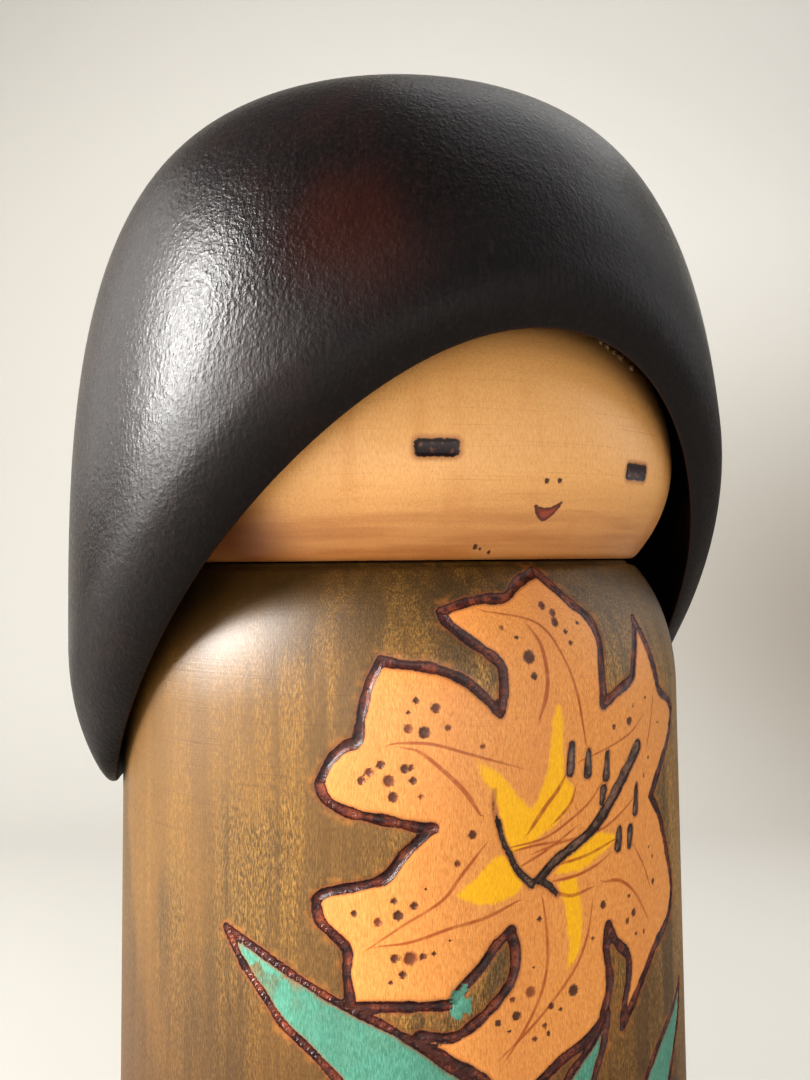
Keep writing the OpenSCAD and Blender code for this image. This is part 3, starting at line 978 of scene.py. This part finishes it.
def hair_material():
    p = Paint("dark_hair_lacquer")
    peel = p.noise(p.stretched(1, 1, 1), 1.6, 2.0, 0.55)
    fleck = p.noise(p.stretched(2.2, 2.2, 0.35), 1.0, 4.0, 0.6)
    cloud = p.patches(0.05, 0.05, 0.05, 4.0)
    streak = p.patches(0.12, 0.12, 0.03, 4.0)
    tone = p.ramp(fleck, (0.35, (13, 9, 9)), (0.55, (22, 15, 14)), (0.72, (38, 27, 24)))
    worn = p.times(p.step(cloud, 0.46, 0.68), p.step(streak, 0.4, 0.62))
    rubbed = p.times(p.near(WORN_PLACE, 15, 2), p.step(streak, 0.3, 0.6))
    worn = p.math("MAXIMUM", p.times(worn, 0.25), rubbed)
    tone = p.mix(p.times(worn, 0.4), tone, (68, 28, 17))
    rim, hollow = p.field("rim"), p.field("hollow")
    edge = p.times(p.step(hollow, 0.5, 0.15), p.step(rim, -1.2, -0.4))
    tone = p.mix(p.times(edge, 0.7), tone, (58, 34, 22))
    # painted shade: the inside of the hollow in one even dark brown
    inner = p.times(p.step(hollow, 0.6, 0.1), p.step(rim, -0.8, -2.0))
    tone = p.mix(p.times(inner, 0.85), tone, (26, 18, 15))
    gloss = p.step(peel, 0.3, 0.7, 0.34, 0.26)
    gloss = p.sum(gloss, p.step(rim, -14, -5, 0.0, 0.2))
    p.set(Base_Color=tone, Roughness=gloss, Specular_IOR_Level=0.27)
    relief = p.sum(p.times(peel, 0.1), p.times(fleck, 0.055),
                   p.times(p.patches(0.3, 0.3, 0.3), 0.1))
    p.bump(relief)
    return p.mat


def dowel_material():
    p = Paint("bare_dowel_wood")
    fleck, fibre, streak, _ = wood_grain(p, 80.0)
    wood = p.ramp(fleck, (0.35, (196, 158, 108)), (0.65, (224, 190, 142)))
    wood = p.over(wood, streak, 0.4, 0.7, 0.4, (178, 136, 88))
    p.set(Base_Color=wood, Roughness=p.step(fibre, 0.3, 0.7, 0.7, 0.55))
    p.bump(p.times(fibre, 0.05))
    return p.mat


def glue_material():
    p = Paint("hardened_glue")
    cloud = p.noise(p.stretched(1, 1, 1), 1.2, 3.0)
    amber = p.mix(p.step(cloud, 0.35, 0.65), (150, 108, 58), (216, 188, 140))
    gloss = p.step(cloud, 0.3, 0.7, 0.16, 0.34)
    p.set(Base_Color=amber, Roughness=gloss, Transmission_Weight=0.35, IOR=1.48)
    p.bump(p.times(cloud, 0.12))
    return p.mat


def stage_material():
    p = Paint("pale_floor_with_painted_shade")
    aside = p.aside()
    # painted light falloff: the floor and wall paler along +X
    pale = p.mix(p.step(aside, -100, 640), (176, 173, 167), (222, 219, 213))
    # painted shadow low on the floor and wall along +X
    low = p.times(p.step(aside, 160, 620), p.step(p.height(), 420, 60))
    p.set(Base_Color=p.mix(low, pale, (150, 142, 130)), Roughness=0.9)
    return p.mat


# ---- the camera, light and floor

VIEW_AZIMUTH = math.radians(-27.2)
CAMERA_DISTANCE = 0.175
VIEW_PITCH, VIEW_YAW, VIEW_ROLL = math.radians(1.2), math.radians(0.33), math.radians(0.53)
LENS = 34.33
TURN = Matrix.Rotation(VIEW_AZIMUTH, 3, "Z")


def from_camera(right, away, up):
    """A place as the camera sees it: metres to the right, beyond the doll's axis, and above the floor."""
    return TURN @ Vector((right, away, up))


def make_camera():
    data = bpy.data.cameras.new("camera")
    data.lens, data.sensor_width = LENS, 36.0
    data.clip_start, data.clip_end = 0.01, 20.0
    camera = bpy.data.objects.new("camera", data)
    bpy.context.collection.objects.link(camera)
    flat = math.cos(VIEW_PITCH)
    forward = TURN @ Vector((math.sin(VIEW_YAW) * flat, math.cos(VIEW_YAW) * flat, math.sin(VIEW_PITCH)))
    level = forward.cross(Vector((0, 0, 1))).normalized()
    upright = level.cross(forward)
    right = level * math.cos(VIEW_ROLL) - upright * math.sin(VIEW_ROLL)
    up = upright * math.cos(VIEW_ROLL) + level * math.sin(VIEW_ROLL)
    place = from_camera(0, -CAMERA_DISTANCE, SEAM * MM)
    camera.matrix_world = Matrix.Translation(place) @ Matrix((right, up, -forward)).transposed().to_4x4()
    bpy.context.scene.camera = camera


WINDOW_TINT, WARM_TINT = (1.0, 0.985, 0.96), (1.0, 0.98, 0.95)
# Soft lights: azimuth to the right of the camera's line and elevation in degrees, distance,
# (width, height) in metres, radiance-like strength, colour.
LIGHTS = {
    "window": (-75, 23, 0.70, (0.115, 0.38), 100.0, WINDOW_TINT),
    "window_glow": (-78, 12, 0.70, (0.36, 0.50), 2.0, WINDOW_TINT),
    "window_side": (-56, 18, 0.70, (0.20, 0.45), 3.0, WARM_TINT),
    "left_back": (-112, 24, 0.70, (0.34, 0.50), 2.6, WINDOW_TINT),
    "left_front": (-28, 4, 0.75, (0.45, 0.40), 1.8, WARM_TINT),
    "front": (6, -7, 0.60, (0.50, 0.14), 4.2, (1.0, 0.97, 0.93)),
    "right_front": (44, 6, 0.75, (0.45, 0.40), 1.4, WARM_TINT),
    "right": (98, 20, 0.70, (0.40, 0.60), 1.6, (0.97, 0.98, 1.0)),
    "top_back": (115, 62, 0.55, (0.5, 0.4), 1.3, (1.0, 1.0, 1.0)),
}
SKY = 0.28


def soft_light(name, azimuth, elevation, distance, size, strength, tint):
    """A rectangle of light facing the head."""
    turn, rise = math.radians(azimuth), math.radians(elevation)
    aside = distance * math.cos(rise)
    up = SEAM * MM + distance * math.sin(rise)
    place = from_camera(aside * math.sin(turn), -aside * math.cos(turn), up)
    data = bpy.data.lights.new(name, "AREA")
    data.shape, data.size, data.size_y = "RECTANGLE", size[0], size[1]
    data.energy = strength * size[0] * size[1] * math.pi
    data.color = tint
    light = bpy.data.objects.new(name, data)
    light.visible_camera = False
    bpy.context.collection.objects.link(light)
    light.location = place
    light.rotation_mode = "QUATERNION"
    light.rotation_quaternion = (Vector((0, 0, SEAM * MM)) - place).to_track_quat("-Z", "Y")


def make_stage():
    for name, values in LIGHTS.items():
        soft_light(name, *values)
    make_sky()
    make_floor()


def make_sky():
    """A dim even world, darker below."""
    world = bpy.data.worlds.new("studio")
    bpy.context.scene.world = world
    world.use_nodes = True
    tree = world.node_tree
    sky = tree.nodes["Background"]
    towards = tree.nodes.new("ShaderNodeTexCoord")
    split = tree.nodes.new("ShaderNodeSeparateXYZ")
    fade = tree.nodes.new("ShaderNodeMapRange")
    for socket, value in zip(fade.inputs[1:5], (-0.3, 0.35, SKY * 0.1, SKY)):
        socket.default_value = value
    tree.links.new(towards.outputs["Generated"], split.inputs[0])
    tree.links.new(split.outputs["Z"], fade.inputs[0])
    tree.links.new(fade.outputs[0], sky.inputs["Strength"])
    sky.inputs["Color"].default_value = (0.95, 0.97, 1.0, 1.0)


def make_floor():
    """A pale floor that curves up into a wall beyond the doll."""
    bend, back, near, tall, half = 0.25, 0.62, -1.6, 1.4, 2.2
    arc = [(back - bend + bend * math.sin(a), bend - bend * math.cos(a)) for a in np.radians(range(0, 91, 6))]
    line = [(near, 0.0), *arc, (back, tall)]
    verts = [tuple(from_camera(x, y, z)) for y, z in line for x in (-half, half)]
    faces = [(2 * i, 2 * i + 1, 2 * i + 3, 2 * i + 2) for i in range(len(line) - 1)]
    mesh = bpy.data.meshes.new("floor")
    mesh.from_pydata(verts, [], faces)
    floor = add_object("floor", mesh)
    floor.data.materials.append(stage_material())


# ---- putting it together

def dress(piece, material, body, node):
    piece.data.materials.clear()
    piece.data.materials.append(material)
    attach(piece, body)
    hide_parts(node)


make_camera()
make_stage()
settings = bpy.context.scene.view_settings
settings.view_transform = "Standard"
settings.look = "Medium High Contrast"
settings.exposure = -0.35
dress(make_body(), body_material(), "base", "body")
dress(make_face(), face_material(), "head", "face_ball")
dress(make_hair(), hair_material(), "head", "hair_cap")
dress(make_glue(), glue_material(), "head", "glue_beads")
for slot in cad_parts["neck_dowel"].material_slots:
    slot.material = dowel_material()
